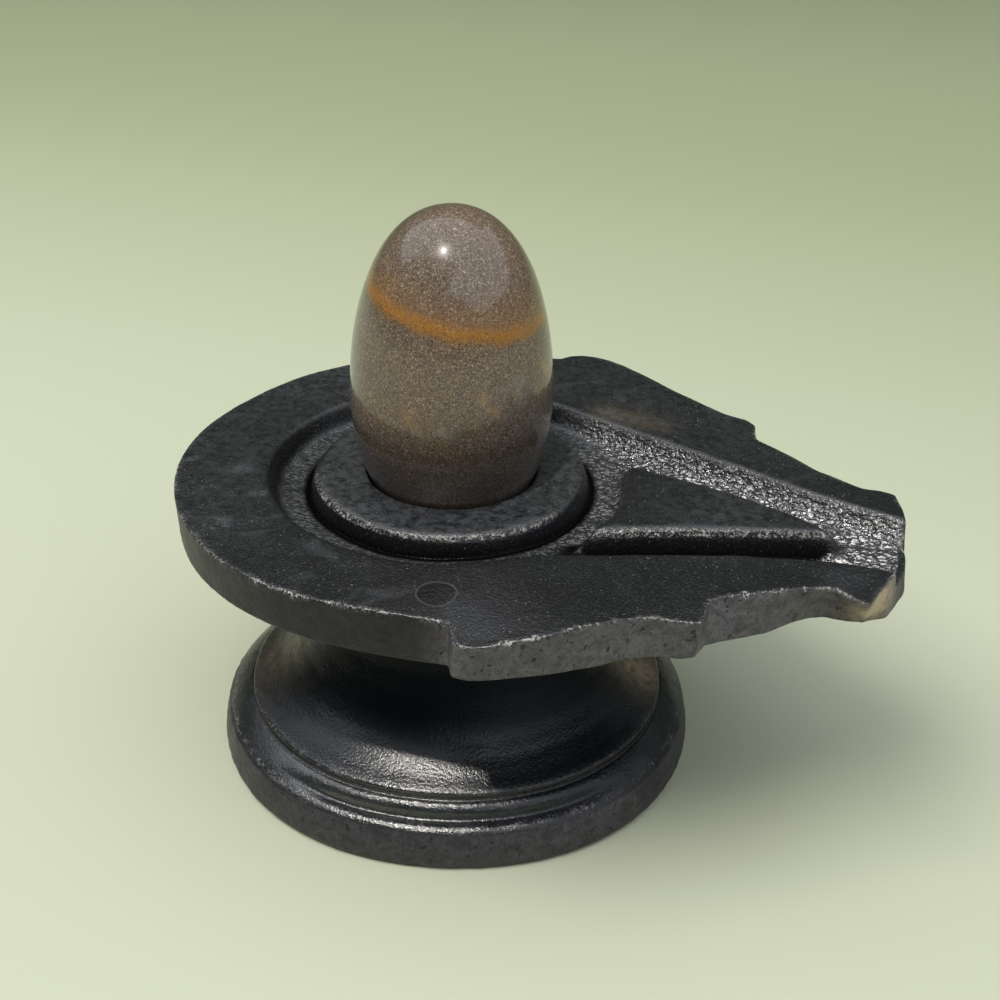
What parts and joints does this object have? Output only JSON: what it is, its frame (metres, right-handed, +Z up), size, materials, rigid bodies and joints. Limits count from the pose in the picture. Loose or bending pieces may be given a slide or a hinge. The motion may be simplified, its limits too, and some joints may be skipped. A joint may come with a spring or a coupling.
{
  "type": "shiva lingam stone on yoni base",
  "caption": "Polished egg-shaped banded river stone standing in the socket of a small carved dark stone base with a ring gutter, drain spout and round foot.",
  "frame": {"origin": "on the table below the middle of the ring gutter, in the plane of the foot's underside", "axes": "+Z up through the standing stone, +X along the spout"},
  "size_m": [0.1492, 0.1223, 0.1166],
  "materials": {
    "banded_stone": "polished brown-grey stone with fine speckle and a soft ochre band",
    "black_stone": "oiled black stone, satin on top, rougher and greyer on its sawn sides"
  },
  "bodies": {
    "root": {"lingam_stone": "banded_stone", "yoni_base": "black_stone"}
  },
  "joints": []
}
